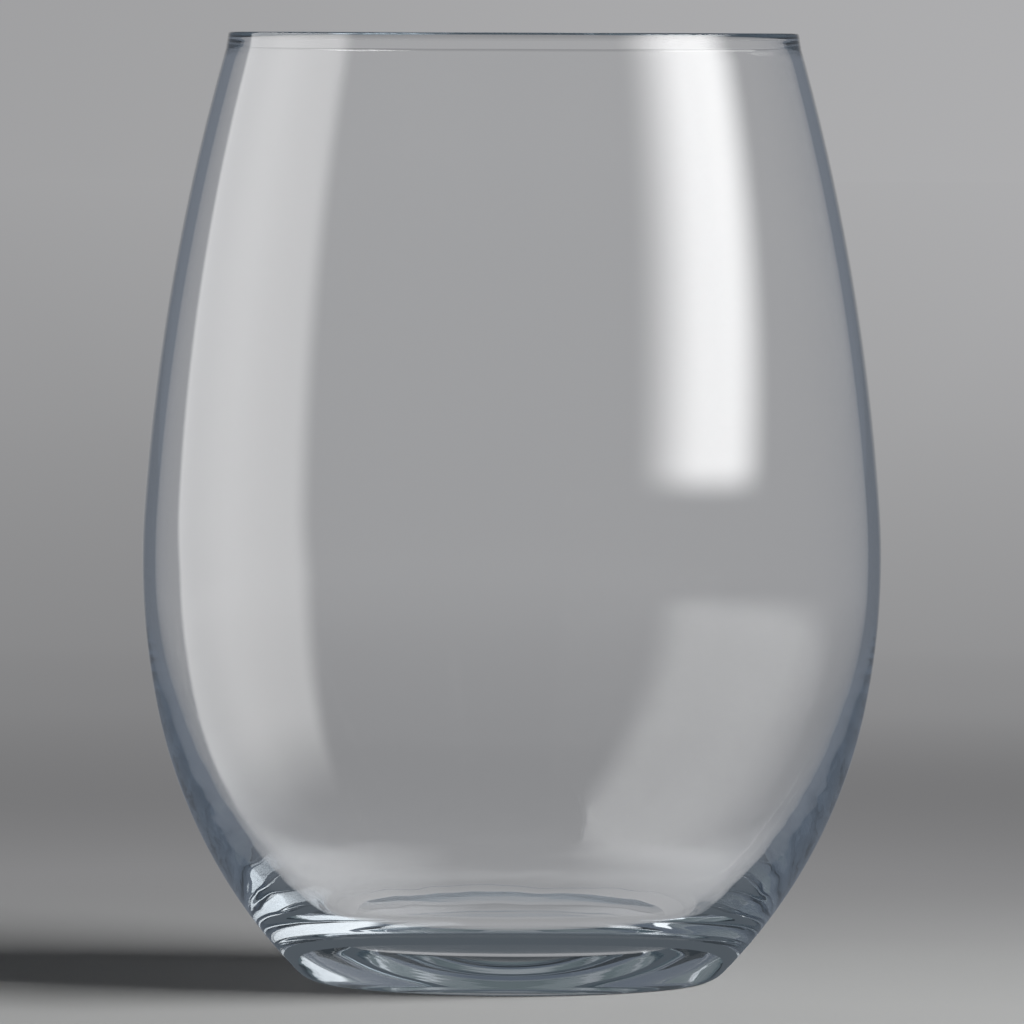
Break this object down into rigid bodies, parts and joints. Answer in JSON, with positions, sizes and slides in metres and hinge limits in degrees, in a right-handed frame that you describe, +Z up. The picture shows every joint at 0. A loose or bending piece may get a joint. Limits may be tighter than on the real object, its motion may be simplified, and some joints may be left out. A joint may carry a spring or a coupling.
{
  "type": "stemless wine glass",
  "caption": "Clear stemless wine glass with an egg-shaped bowl that narrows to a beaded rim and stands on a thick flat base.",
  "frame": {"origin": "centre of the bearing ring, on the plane that the glass stands on", "axes": "+Z up along the axis of revolution, from the base to the rim; X and Y are any two level directions"},
  "size_m": [0.092, 0.092, 0.118],
  "materials": {
    "clear_glass": "clear fire-polished soda-lime glass with a faint blue-grey edge tint"
  },
  "bodies": {
    "root": {"base": "clear_glass", "bowl_wall": "clear_glass", "rim_bead": "clear_glass"}
  },
  "joints": []
}
